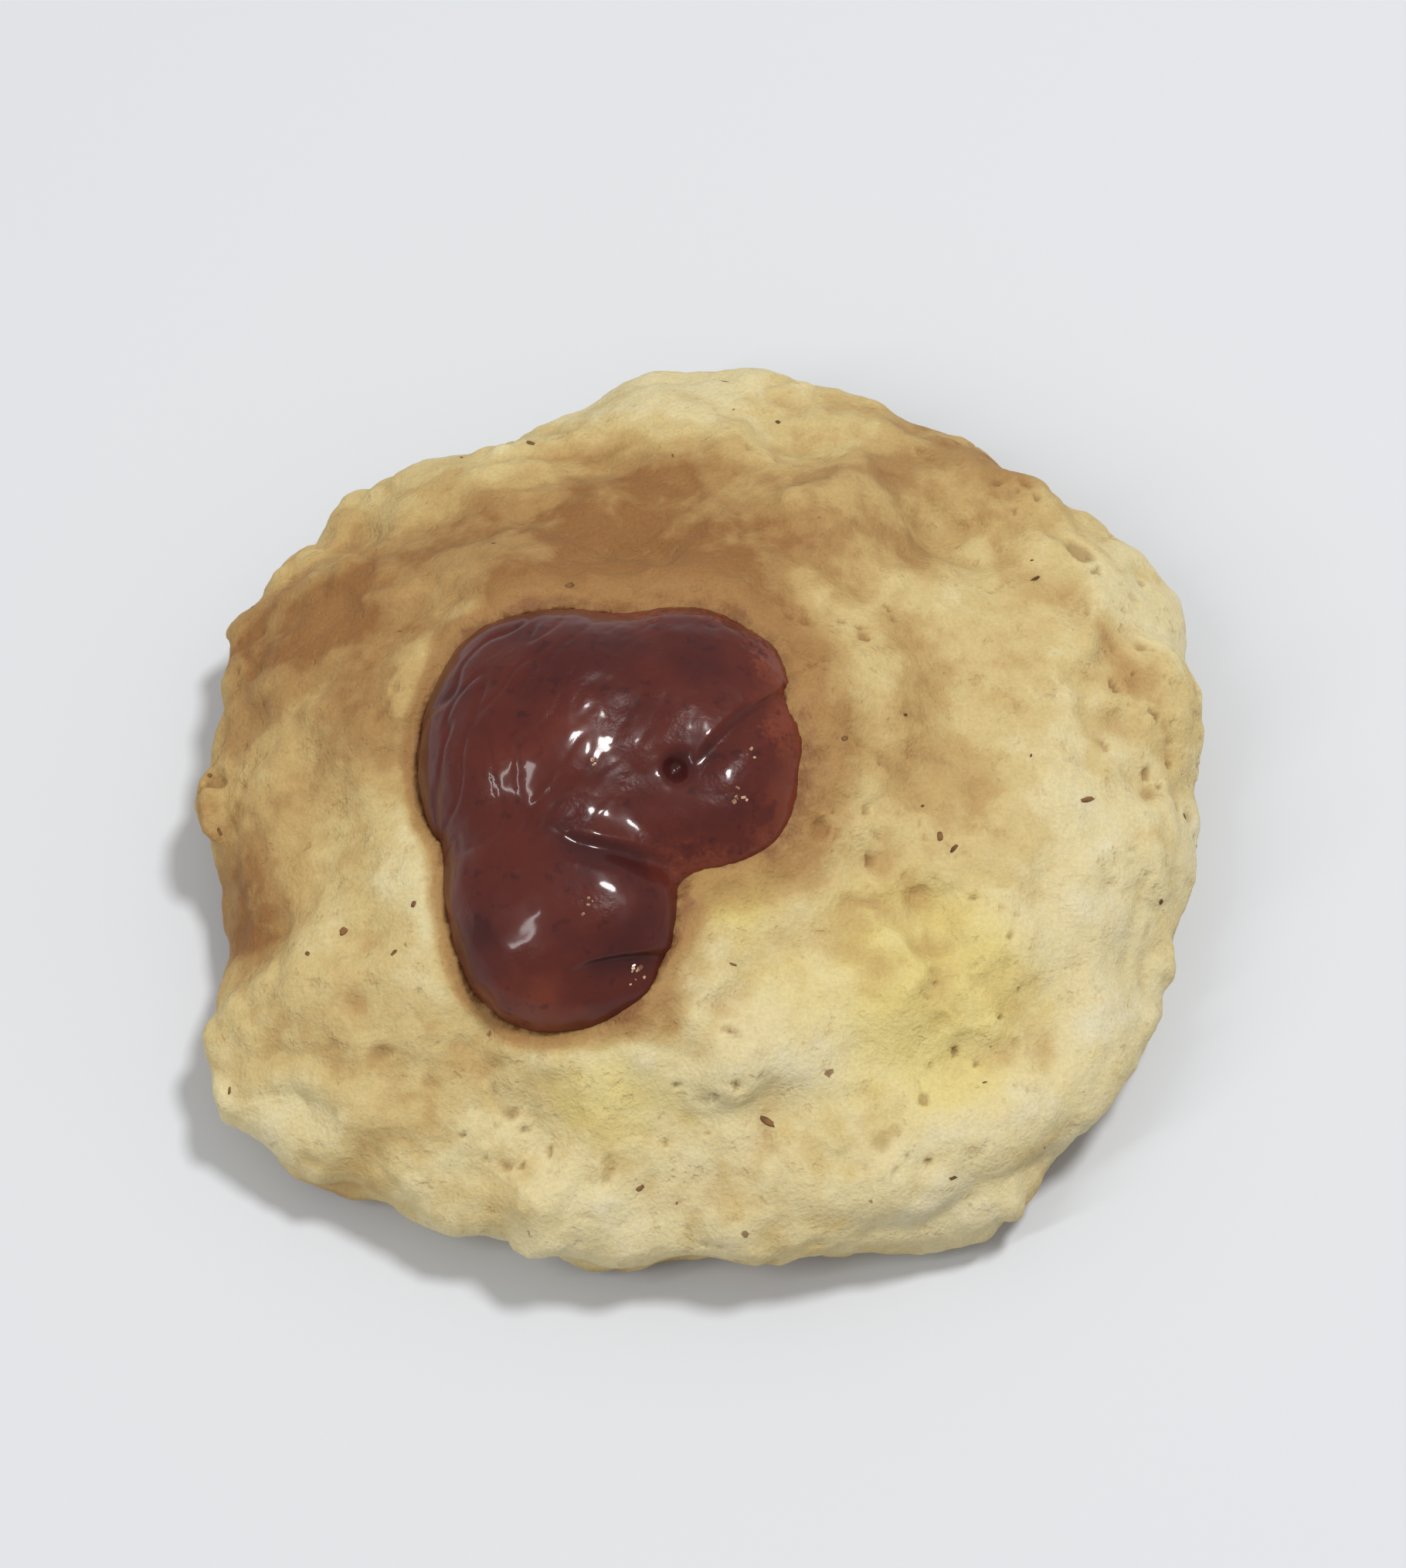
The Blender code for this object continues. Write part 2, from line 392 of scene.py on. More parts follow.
# How rough each finish is, and how glossy its coat
DRY_DOUGH_ROUGHNESS = 0.68
WET_DOUGH_ROUGHNESS = 0.55
CHERRY_ROUGHNESS = 0.34
CRYSTAL_ROUGHNESS = 0.42
CHERRY_COAT = 0.55
CRYSTAL_COAT = 0.40

# The height of each material's bumps, and how far light spreads inside it
DOUGH_BUMP = 0.00018
CHERRY_BUMP = 0.00006
FLECK_BUMP = 0.00004
DOUGH_SPREAD = 0.0012
CHERRY_SPREAD = 0.0024
SUGAR_SPREAD = 0.0004

# The sockets for colours among a Mix node's sockets
MIX_SHARE = 0
MIX_FIRST = 6
MIX_SECOND = 7
MIX_RESULT = 2


# Meshes


def deselect_all():
    for obj in bpy.context.view_layer.objects:
        obj.select_set(False)


def make_active(piece):
    deselect_all()
    piece.select_set(True)
    bpy.context.view_layer.objects.active = piece


def in_edit_mode(piece, work):
    make_active(piece)
    bpy.ops.object.mode_set(mode="EDIT")
    bpy.ops.mesh.select_all(action="SELECT")
    work()
    bpy.ops.object.mode_set(mode="OBJECT")


def apply_modifier(piece, modifier):
    make_active(piece)
    bpy.ops.object.modifier_apply(modifier=modifier.name)


def ease(value):
    """0 below 0, 1 above 1, and a smooth step between."""
    value = min(1.0, max(0.0, value))
    return value * value * (3.0 - 2.0 * value)


def share_between(value, start, full):
    """0 up to start, 1 from full on, and a smooth step between."""
    return ease((value - start) / (full - start))


def copy_of_node(node, name):
    """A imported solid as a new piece, with its loose triangles merged."""
    mesh = frame["nodes"][node].data.copy()
    mesh.materials.clear()
    piece = bpy.data.objects.new(name, mesh)
    bpy.context.scene.collection.objects.link(piece)
    in_edit_mode(piece, lambda: bpy.ops.mesh.remove_doubles(threshold=MERGE_DISTANCE))
    return piece


def middle_of_node(node):
    low_corner, high_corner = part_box(node)
    return (low_corner + high_corner) / 2.0


def remesh(piece, voxel):
    modifier = piece.modifiers.new("Even mesh", "REMESH")
    modifier.mode = "VOXEL"
    modifier.voxel_size = voxel
    modifier.use_smooth_shade = True
    apply_modifier(piece, modifier)


def smooth(piece, rounds):
    modifier = piece.modifiers.new("Smooth", "SMOOTH")
    modifier.factor = SMOOTHING
    modifier.iterations = rounds
    apply_modifier(piece, modifier)


def set_weights(piece, name, weights):
    group = piece.vertex_groups.new(name=name)
    for index, weight in enumerate(weights):
        group.add((index,), weight, "REPLACE")


def set_attribute(piece, name, values):
    attribute = piece.data.attributes.new(name, "FLOAT", "POINT")
    attribute.data.foreach_set("value", values)


def displace(piece, name, size, detail, height, group="", hard=False):
    """Raises and lowers the skin along its normals by a noise, half the height each way."""
    texture = bpy.data.textures.new(name, "CLOUDS")
    texture.noise_scale = size
    texture.noise_depth = detail
    texture.noise_type = "HARD_NOISE" if hard else "SOFT_NOISE"
    modifier = piece.modifiers.new(name, "DISPLACE")
    modifier.texture = texture
    modifier.texture_coords = "LOCAL"
    modifier.strength = height
    modifier.mid_level = 0.5
    modifier.vertex_group = group
    apply_modifier(piece, modifier)


def swell(piece, height, group=""):
    modifier = piece.modifiers.new("Swell", "DISPLACE")
    modifier.strength = height
    modifier.mid_level = 0.0
    modifier.vertex_group = group
    apply_modifier(piece, modifier)


def grip(piece, target):
    """Draws the points nearest another piece just under its skin: dough sticks to what is baked in it."""
    near = distances_to(surface_of(target), piece)
    set_weights(piece, "grip", [1.0 - ease(2.0 * distance / LIP_GRIP - 1.0) for distance in near])
    modifier = piece.modifiers.new("Grip", "SHRINKWRAP")
    modifier.target = target
    modifier.wrap_method = "NEAREST_SURFACEPOINT"
    modifier.wrap_mode = "ABOVE_SURFACE"
    modifier.offset = -GRIP_DEPTH
    modifier.vertex_group = "grip"
    apply_modifier(piece, modifier)


def surface_of(piece):
    """A tree that finds the nearest place on a piece's surface."""
    mesh = piece.data
    places = [vertex.co.copy() for vertex in mesh.vertices]
    faces = [tuple(face.vertices) for face in mesh.polygons]
    return BVHTree.FromPolygons(places, faces)


def distance_from(surface, place):
    return surface.find_nearest(place)[3]


def distances_to(surface, piece):
    """How far each point of a piece is from a surface: negative inside it."""
    found = []
    for vertex in piece.data.vertices:
        place, normal, _, distance = surface.find_nearest(vertex.co)
        inside = (vertex.co - place).dot(normal) < 0.0
        found.append(-distance if inside else distance)
    return found


def skin_of(piece):
    """The place and the normal of each point, kept before the relief goes on."""
    return [(vertex.co.copy(), vertex.normal.copy()) for vertex in piece.data.vertices]


def relief_over(piece, skin, unit):
    """How far each point stands out of the skin that was kept, in units."""
    return [
        (vertex.co - place).dot(normal) / unit
        for vertex, (place, normal) in zip(piece.data.vertices, skin)
    ]


def finish(piece, material):
    """Takes off the masks that shaped a piece, and gives it its material."""
    piece.vertex_groups.clear()
    piece.data.materials.append(material)
    piece.data.shade_smooth()


# View and light


def make_view():
    camera = bpy.data.cameras.new("View")
    camera.sensor_fit = "HORIZONTAL"
    camera.sensor_width = SENSOR_WIDTH
    camera.lens = SENSOR_WIDTH * VIEW_DISTANCE / VIEW_WIDTH
    camera.clip_start = VIEW_NEAREST
    obj = bpy.data.objects.new("View", camera)
    bpy.context.scene.collection.objects.link(obj)
    back = Vector((0.0, -math.cos(VIEW_ELEVATION), math.sin(VIEW_ELEVATION)))
    obj.location = VIEW_MIDDLE + back * VIEW_DISTANCE
    obj.rotation_euler = (-back).to_track_quat("-Z", "Y").to_euler()
    bpy.context.scene.camera = obj


def add_lamp(name, shape, place, size, power):
    """A flat lamp that faces the cookie."""
    lamp = bpy.data.lights.new(name, "AREA")
    lamp.shape = shape
    lamp.size, lamp.size_y = size
    lamp.energy = power
    obj = bpy.data.objects.new(name, lamp)
    bpy.context.scene.collection.objects.link(obj)
    obj.location = place
    obj.rotation_euler = (VIEW_MIDDLE - place).to_track_quat("-Z", "Y").to_euler()


def make_light():
    add_lamp("Overhead", "ELLIPSE", LAMP_PLACE, LAMP_SIZE, LAMP_POWER)
    add_lamp("Window", "RECTANGLE", WINDOW_PLACE, WINDOW_SIZE, WINDOW_POWER)
    world = bpy.data.worlds.new("Room")
    world.use_nodes = True
    background = world.node_tree.nodes["Background"]
    background.inputs["Color"].default_value = ROOM_COLOUR
    background.inputs["Strength"].default_value = ROOM_STRENGTH
    bpy.context.scene.world = world
    bpy.context.scene.view_settings.view_transform = "Standard"


def make_floor():
    deselect_all()
    bpy.ops.mesh.primitive_plane_add(size=FLOOR_WIDTH, location=(0.0, 0.0, 0.0))
    floor = bpy.context.object
    floor.name = "floor"
    material, _, shader = new_material("Pale paper")
    shader.inputs["Base Color"].default_value = FLOOR_COLOUR
    shader.inputs["Roughness"].default_value = FLOOR_ROUGHNESS
    floor.data.materials.append(material)


# Node trees


def add(tree, kind, settings=None, **sockets):
    """A node with its settings, and its inputs set to values or linked to outputs."""
    made = tree.nodes.new(kind)
    for name, value in (settings or {}).items():
        setattr(made, name, value)
    feed_all(tree, made, sockets)
    return made


def feed_all(tree, made, sockets):
    for name, value in sockets.items():
        feed(tree, value, made.inputs[name.replace("_", " ")])


def feed(tree, value, socket):
    if isinstance(value, bpy.types.NodeSocket):
        tree.links.new(value, socket)
    else:
        socket.default_value = value


def math_of(tree, operation, *values):
    made = add(tree, "ShaderNodeMath", {"operation": operation})
    for value, socket in zip(values, made.inputs):
        feed(tree, value, socket)
    return made.outputs[0]


def multiply_add(tree, value, factor, addend):
    return math_of(tree, "MULTIPLY_ADD", value, factor, addend)


def centred(tree, value):
    """A noise value moved so that its middle is 0."""
    return math_of(tree, "SUBTRACT", value, 0.5)


def ramp_of(tree, value, start, full, low=0.0, high=1.0):
    """Low up to start, high from full on, and a smooth step between."""
    made = add(
        tree,
        "ShaderNodeMapRange",
        {"interpolation_type": "SMOOTHSTEP"},
        Value=value,
        From_Min=start,
        From_Max=full,
        To_Min=low,
        To_Max=high,
    )
    return made.outputs["Result"]


def mix_of(tree, share, first, second, blend="MIX"):
    """The first colour, with the second one over it by the share."""
    made = add(tree, "ShaderNodeMix", {"data_type": "RGBA", "blend_type": blend})
    feed(tree, share, made.inputs[MIX_SHARE])
    feed(tree, first, made.inputs[MIX_FIRST])
    feed(tree, second, made.inputs[MIX_SECOND])
    return made.outputs[MIX_RESULT]


def noise_of(tree, place, size, detail=2.0, roughness=0.5):
    made = add(
        tree, "ShaderNodeTexNoise", Vector=place, Scale=1.0 / size, Detail=detail, Roughness=roughness
    )
    return made.outputs["Fac"]


def colours_of(tree, value, stops):
    """A colour for each value, running through the stops."""
    made = add(tree, "ShaderNodeValToRGB", Fac=value)
    made.color_ramp.interpolation = "EASE"
    elements = made.color_ramp.elements
    while len(elements) < len(stops):
        elements.new(1.0)
    for element, (position, colour) in zip(elements, stops):
        element.position = position
        element.color = colour
    return made.outputs["Color"]


def attribute_of(tree, name):
    return add(tree, "ShaderNodeAttribute", {"attribute_name": name}).outputs["Fac"]


def new_group(name, inputs, outputs):
    """A node group with float, vector or colour sockets. Returns it with its two end nodes."""
    group = bpy.data.node_groups.new(name, "ShaderNodeTree")
    for direction, sockets in (("INPUT", inputs), ("OUTPUT", outputs)):
        for socket, kind in sockets.items():
            group.interface.new_socket(socket, in_out=direction, socket_type=f"NodeSocket{kind}")
    start = group.nodes.new("NodeGroupInput")
    end = group.nodes.new("NodeGroupOutput")
    return group, start, end


def place_group(tree, group, **sockets):
    made = tree.nodes.new("ShaderNodeGroup")
    made.node_tree = group
    feed_all(tree, made, sockets)
    return made


def new_material(name):
    material = bpy.data.materials.new(name)
    material.use_nodes = True
    tree = material.node_tree
    return material, tree, tree.nodes["Principled BSDF"]


def object_place(tree):
    return add(tree, "ShaderNodeTexCoord").outputs["Object"]


def bump_of(tree, height, distance):
    made = add(tree, "ShaderNodeBump", Strength=1.0, Distance=distance, Height=height)
    return made.outputs["Normal"]


def spread_light(shader, weight, radius, distance):
    """Lets light in under the skin: its share, its colour, and how far it gets."""
    shader.inputs["Subsurface Weight"].default_value = weight
    shader.inputs["Subsurface Radius"].default_value = radius
    shader.inputs["Subsurface Scale"].default_value = distance


def make_crumb_group():
    """Fine crumb of baked dough: its height, a mask of the pores between the crumbs, where shade is painted,
    and its grain.
    """
    group, start, end = new_group(
        "Baked crumb", {"Place": "Vector"}, {"Height": "Float", "Pores": "Float", "Grain": "Float"}
    )
    place = start.outputs["Place"]
    coarse = noise_of(group, place, CRUMB_SIZE, detail=3.0, roughness=0.65)
    fine = noise_of(group, place, FINE_CRUMB_SIZE, roughness=0.6)
    pores = noise_of(group, place, PORE_SIZE, detail=3.0, roughness=0.7)
    pores = ramp_of(group, pores, *PORE_EDGE)
    height = multiply_add(group, fine, FINE_CRUMB_HEIGHT, coarse)
    height = multiply_add(group, pores, PORE_HEIGHT, height)
    feed(group, height, end.inputs["Height"])
    feed(group, pores, end.inputs["Pores"])
    feed(group, fine, end.inputs["Grain"])
    return group


def make_browning_group():
    """Colour of baked dough by how much it browned, clouded by the unevenness of the batter, with painted
    shade in the pores and in the browning it is given.
    """
    group, start, end = new_group(
        "Browning", {"Place": "Vector", "Browning": "Float", "Pores": "Float"}, {"Colour": "Color"}
    )
    place = start.outputs["Place"]
    clouds = centred(group, noise_of(group, place, CLOUD_SIZE, detail=3.0, roughness=0.6))
    mottle = centred(group, noise_of(group, place, MOTTLE_SIZE, detail=3.0, roughness=0.6))
    browning_and_shade = multiply_add(group, clouds, CLOUD_BROWNING, start.outputs["Browning"])
    browning_and_shade = multiply_add(group, mottle, MOTTLE_BROWNING, browning_and_shade)
    colour = colours_of(group, browning_and_shade, BROWNING_COLOURS)
    # Painted shade in the pores
    pore_share = math_of(group, "MULTIPLY", start.outputs["Pores"], PORE_SHADE_COVER)
    colour = mix_of(group, pore_share, colour, PORE_SHADE_COLOUR)
    feed(group, colour, end.inputs["Colour"])
    return group


def make_dough_material(crumb, browning_and_shade):
    material, tree, shader = new_material("Baked almond dough")
    place = object_place(tree)
    crumbs = place_group(tree, crumb, Place=place)
    relief = attribute_of(tree, "relief")
    broken = centred(tree, noise_of(tree, place, JUICE_EDGE_SIZE, detail=4.0, roughness=0.65))
    broken = multiply_add(tree, broken, JUICE_RAGGEDNESS, 1.0)
    juice = math_of(tree, "MULTIPLY", broken, attribute_of(tree, "juice"))
    # Painted shade: hollows in the relief brown the dough darker
    browned_and_shaded = multiply_add(tree, relief, DOUGH_RELIEF_SHADE, attribute_of(tree, "browning_and_shade"))
    browned_and_shaded = math_of(tree, "ADD", browned_and_shaded, ramp_of(tree, juice, *JUICE_EDGE, high=JUICE_BROWNING))
    coloured = place_group(
        tree, browning_and_shade, Place=place, Browning=browned_and_shaded, Pores=crumbs.outputs["Pores"]
    )
    colour = coloured.outputs["Colour"]
    smeared = centred(tree, noise_of(tree, place, BUTTER_SMEAR_SIZE, detail=3.0, roughness=0.6))
    butter = multiply_add(tree, smeared, BUTTER_RAGGEDNESS, attribute_of(tree, "butter"))
    layers = (
        (ramp_of(tree, butter, *BUTTER_EDGE, high=BUTTER_COVER), BUTTER_COLOUR),
        # Painted shade in the relief's hollows
        (ramp_of(tree, relief, *HOLLOW_SHADE_EDGE, high=HOLLOW_SHADE_COVER), HOLLOW_SHADE_COLOUR),
        # Painted shade in the pits
        (ramp_of(tree, attribute_of(tree, "pits"), *PIT_SHADE_EDGE, high=PIT_SHADE_COVER), PIT_SHADE_COLOUR),
        (speck_mask(tree, place), SPECK_COLOUR),
        (ramp_of(tree, juice, *HALO_EDGE, high=HALO_COVER), HALO_COLOUR),
        (ramp_of(tree, juice, *STAIN_EDGE, high=STAIN_COVER), STAIN_COLOUR),
    )
    for share, layer_colour in layers:
        colour = mix_of(tree, share, colour, layer_colour)
    grain = ramp_of(tree, crumbs.outputs["Grain"], *GRAIN_EDGE, *GRAIN_TONE)
    colour = mix_of(tree, 1.0, colour, grain, "MULTIPLY")
    feed(tree, colour, shader.inputs["Base Color"])
    roughness = ramp_of(tree, juice, *WET_EDGE, low=DRY_DOUGH_ROUGHNESS, high=WET_DOUGH_ROUGHNESS)
    feed(tree, roughness, shader.inputs["Roughness"])
    shader.inputs["Specular IOR Level"].default_value = 0.22
    spread_light(shader, weight=0.25, radius=(1.0, 0.60, 0.30), distance=DOUGH_SPREAD)
    feed(tree, bump_of(tree, crumbs.outputs["Height"], DOUGH_BUMP), shader.inputs["Normal"])
    return material


def speck_mask(tree, place):
    """Tiny dots of almond skin, here and there: the middles of some of a cell pattern's cells."""
    cells = add(tree, "ShaderNodeTexVoronoi", Vector=place, Scale=1.0 / SPECK_SPACING)
    chosen = add(tree, "ShaderNodeSeparateColor", Color=cells.outputs["Color"])
    size = ramp_of(tree, chosen.outputs["Red"], *SPECK_CHOICE, high=SPECK_RADIUS)
    wobble = centred(tree, noise_of(tree, place, SPECK_EDGE_SIZE, detail=1.0))
    distance = multiply_add(tree, wobble, SPECK_RAGGEDNESS, cells.outputs["Distance"])
    inside = math_of(tree, "SUBTRACT", size, distance)
    return ramp_of(tree, inside, *SPECK_EDGE, high=SPECK_COVER)


def make_cherry_material():
    material, tree, shader = new_material("Glace cherry")
    place = object_place(tree)
    depth = noise_of(tree, place, FLESH_SIZE, detail=3.0, roughness=0.55)
    flesh = ramp_of(tree, depth, *FLESH_EDGE, high=FLESH_LIGHT)
    # Painted light and shade: raised skin lighter, dents and creases darker
    flesh = multiply_add(tree, attribute_of(tree, "relief"), CHERRY_RELIEF_SHADE_AND_LIGHT, flesh)
    flesh = multiply_add(tree, attribute_of(tree, "glow"), GLOW_LIGHT, flesh)
    freckles = ramp_of(tree, noise_of(tree, place, FRECKLE_SIZE, roughness=0.6), *FRECKLE_EDGE)
    flesh = multiply_add(tree, freckles, FRECKLE_LIGHT, flesh)
    crystals = attribute_of(tree, "crystals")
    fine = centred(tree, noise_of(tree, place, CRYSTAL_GRAIN_SIZE, roughness=0.6))
    flesh = multiply_add(tree, math_of(tree, "MULTIPLY", fine, crystals), CRYSTAL_LIGHT, flesh)
    feed(tree, colours_of(tree, flesh, CHERRY_COLOURS), shader.inputs["Base Color"])
    roughness = ramp_of(tree, crystals, *CRYSTAL_EDGE, low=CHERRY_ROUGHNESS, high=CRYSTAL_ROUGHNESS)
    feed(tree, roughness, shader.inputs["Roughness"])
    coat = ramp_of(tree, crystals, *CRYSTAL_EDGE, low=CHERRY_COAT, high=CRYSTAL_COAT)
    feed(tree, coat, shader.inputs["Coat Weight"])
    shader.inputs["Coat Roughness"].default_value = 0.10
    shader.inputs["Coat IOR"].default_value = 1.36
    shader.inputs["Specular IOR Level"].default_value = 0.10
    spread_light(shader, weight=0.30, radius=(1.0, 0.16, 0.07), distance=CHERRY_SPREAD)
    broken = ramp_of(tree, noise_of(tree, place, CRINKLE_PATCH), *CRINKLE_EDGE, low=CRINKLE_LEAST)
    crinkle = math_of(tree, "MULTIPLY", noise_of(tree, place, CRINKLE_SIZE, roughness=0.6), broken)
    height = multiply_add(tree, noise_of(tree, place, RIPPLE_SIZE, detail=1.0), RIPPLE_HEIGHT, crinkle)
    feed(tree, bump_of(tree, height, CHERRY_BUMP), shader.inputs["Normal"])
    return material


def make_fleck_material():
    material, tree, shader = new_material("Almond skin")
    place = object_place(tree)
    tone = noise_of(tree, place, FLECK_TONE_SIZE)
    feed(tree, colours_of(tree, tone, FLECK_COLOURS), shader.inputs["Base Color"])
    shader.inputs["Roughness"].default_value = 0.7
    shader.inputs["Specular IOR Level"].default_value = 0.2
    grain = noise_of(tree, place, FLECK_GRAIN_SIZE)
    feed(tree, bump_of(tree, grain, FLECK_BUMP), shader.inputs["Normal"])
    return material


def make_sugar_material():
    material, tree, shader = new_material("Sugar grain")
    tone = noise_of(tree, object_place(tree), SUGAR_TONE_SIZE, detail=1.0)
    feed(tree, colours_of(tree, tone, SUGAR_COLOURS), shader.inputs["Base Color"])
    shader.inputs["Roughness"].default_value = 0.22
    spread_light(shader, weight=0.4, radius=(1.0, 0.7, 0.6), distance=SUGAR_SPREAD)
    return material


# Pieces


def join_into(piece, others):
    deselect_all()
    for obj in others:
        obj.select_set(True)
    piece.select_set(True)
    bpy.context.view_layer.objects.active = piece
    bpy.ops.object.join()


def rough_ball(name, roughness, seed):
    """A small rough lump of unit radius."""
    deselect_all()
    bpy.ops.mesh.primitive_ico_sphere_add(subdivisions=2, radius=1.0)
    lump = bpy.context.object
    lump.name = name

    def roughen():
        bpy.ops.transform.vertex_random(offset=roughness, uniform=0.6, normal=0.4, seed=seed)

    in_edit_mode(lump, roughen)
    lump.data.shade_smooth()
    return lump


def turned_to(normal, spin):
    """A turn that stands +Z along the normal, after a spin about it."""
    return normal.to_track_quat("Z", "Y").to_matrix().to_4x4() @ Matrix.Rotation(spin, 4, "Z")


def copy_at(shape, place, turn, scale):
    piece = shape.copy()
    piece.data = shape.data.copy()
    bpy.context.scene.collection.objects.link(piece)
    piece.matrix_world = Matrix.Translation(place) @ turn @ Matrix.Diagonal(scale).to_4x4()
    return piece


def join_all(name, copies, material):
    """Joins the copies as one piece whose object lies at the origin."""
    joined = copies[0]
    join_into(joined, copies[1:])
    make_active(joined)
    bpy.ops.object.transform_apply(location=True, rotation=True, scale=True)
    joined.name = name
    joined.data.name = name
    joined.data.materials.append(material)
    return joined


def spots_on(piece, count, draw, accept):
    """Seeded places on a piece's skin that the accept function lets through, with their normals."""
    vertices = piece.data.vertices
    spots = []
    while len(spots) < count:
        vertex = vertices[draw.randrange(len(vertices))]
        if draw.random() < accept(vertex):
            spots.append((vertex.co.copy(), vertex.normal.copy()))
    return spots


def rim_share(place, fade):
    """0 on the middle of the dough, and 1 towards its rim."""
    return ease((math.hypot(place.x, place.y) - RIM_START) / fade)


def add_clods(dough, cherry_surface):
    """Lumps of dough on the skin, joined to it before its mesh is made even, so that they grow out of it."""
    draw = random.Random(CLOD_SEED)
    lump = rough_ball("clod", CLOD_ROUGHNESS, CLOD_SEED)

    def accept(vertex):
        if vertex.co.z < CLOD_LOWEST or vertex.normal.z < CLOD_STEEPEST:
            return 0.0
        if distance_from(cherry_surface, vertex.co) < CLOD_CLEAR:
            return 0.0
        return CLOD_INNER_SHARE + (1.0 - CLOD_INNER_SHARE) * rim_share(vertex.co, CLOD_RIM_FADE)

    clods = []
    for place, normal in spots_on(dough, CLOD_COUNT, draw, accept):
        radius = draw.uniform(*CLOD_RADIUS)
        stretch = draw.uniform(*CLOD_STRETCH)
        turn = turned_to(normal, draw.uniform(0.0, math.tau))
        middle = place - normal * (radius * CLOD_SINK)
        clods.append(copy_at(lump, middle, turn, (radius * stretch, radius, radius * CLOD_FLATNESS)))
    bpy.data.objects.remove(lump)
    join_into(dough, clods)


def flatten_base(dough):
    """Cuts the underside flat and sets it back on the ground."""
    in_edit_mode(
        dough,
        lambda: bpy.ops.mesh.bisect(
            plane_co=(0.0, 0.0, BASE_CUT), plane_no=UP, use_fill=True, clear_inner=True
        ),
    )
    for vertex in dough.data.vertices:
        if vertex.co.z < BASE_CUT * CUT_TOLERANCE:
            vertex.co.z = 0.0


def fold_share(place):
    """Where the dough folded: patches."""
    return share_between(noise.noise(place / FOLD_PATCH + PATCH_PLACE), FOLD_START, FOLD_FULL)


def crag_share(place):
    """Where the dough broke up into crags: patches, more of them towards the rim."""
    patch = noise.noise(place / CRAG_PATCH - PATCH_PLACE)
    towards_rim = CRAG_RIM_SHARE * rim_share(place, CRAG_RIM_FADE)
    return share_between(patch + towards_rim, CRAG_START, CRAG_FULL)


def pit_share(place):
    """How deep the skin lies in a pit here, from 0 to 1."""
    patch = noise.noise(place / PIT_PATCH - PATCH_PLACE)
    depths = (
        share_between(noise.noise(place / size + PATCH_PLACE), start, full)
        for size, start, full in PIT_KINDS
    )
    return share_between(patch, PIT_PATCH_START, PIT_PATCH_FULL) * max(depths)


def browning_and_shade_at(place):
    """How much the oven browned the dough here: in toasted spots, some of them partly painted shadow, low on
    the sides, and in soft patches.
    """
    toasted = sum(
        share * (1.0 - ease((place - middle).length / reach)) for middle, reach, share in TOASTED_AND_SHADED_SPOTS
    )
    patch = noise.noise(place / PATCH_SIZE + PATCH_PLACE)
    flank = ease((FLANK_HEIGHT - place.z) / FLANK_HEIGHT)
    foot = ease((FOOT_HEIGHT + FOOT_WAVE * patch - place.z) / FOOT_FADE)
    all_over = BROWNING_PALE + toasted + PATCH_BROWNING * patch
    return all_over + FLANK_BROWNING * flank + FOOT_BROWNING * foot


def butter_at(place):
    return max(1.0 - ease((place - middle).length / reach) for middle, reach in BUTTER_SPOTS)


def juice_at(place, distance, middle):
    """How much of the cherry's juice the dough took up here, from 0 to 1: it went further on one side."""
    aside = Vector((place.x - middle.x, place.y - middle.y, 0.0)).normalized()
    uneven = JUICE_UNEVENNESS * noise.noise(place / JUICE_PATCH)
    turn = 0.5 + JUICE_LEAN * aside.dot(JUICE_TOWARDS) + uneven
    reach = JUICE_REACH[0] + (JUICE_REACH[1] - JUICE_REACH[0]) * ease(turn)
    return 1.0 - ease(distance / reach)


def make_dough(cherry, cherry_surface, material):
    dough = copy_of_node("dough", "baked_dough")
    add_clods(dough, cherry_surface)
    remesh(dough, DOUGH_VOXEL)
    smooth(dough, DOUGH_SMOOTHING_ROUNDS)
    flatten_base(dough)
    grip(dough, cherry)
    to_cherry = distances_to(cherry_surface, dough)
    plain = skin_of(dough)
    skin = [
        ease((place.z - BASE_CUT) / BASE_FADE) * ease((distance - LIP_CLEAR) / LIP_FADE)
        for (place, _), distance in zip(plain, to_cherry)
    ]
    pits = [share * pit_share(place) for (place, _), share in zip(plain, skin)]
    set_weights(dough, "skin", skin)
    set_weights(dough, "folds", [share * fold_share(place) for (place, _), share in zip(plain, skin)])
    set_weights(dough, "crags", [share * crag_share(place) for (place, _), share in zip(plain, skin)])
    set_weights(dough, "hollows", pits)
    for layer in SKIN_RELIEF:
        displace(dough, *layer, "skin")
    displace(dough, *FOLDS, "folds", hard=True)
    displace(dough, *CRAGS, "crags", hard=True)
    swell(dough, -PIT_DEPTH, "hollows")
    places = [vertex.co.copy() for vertex in dough.data.vertices]
    middle = middle_of_node("cherry")
    juice = [juice_at(place, distance, middle) for place, distance in zip(places, to_cherry)]
    set_attribute(dough, "relief", relief_over(dough, plain, DOUGH_RELIEF_UNIT))
    # The pits' depth, which the material paints as shade
    set_attribute(dough, "pits", pits)
    set_attribute(dough, "browning_and_shade", [browning_and_shade_at(place) for place in places])
    set_attribute(dough, "butter", [butter_at(place) for place in places])
    set_attribute(dough, "juice", juice)
    finish(dough, material)
    return dough


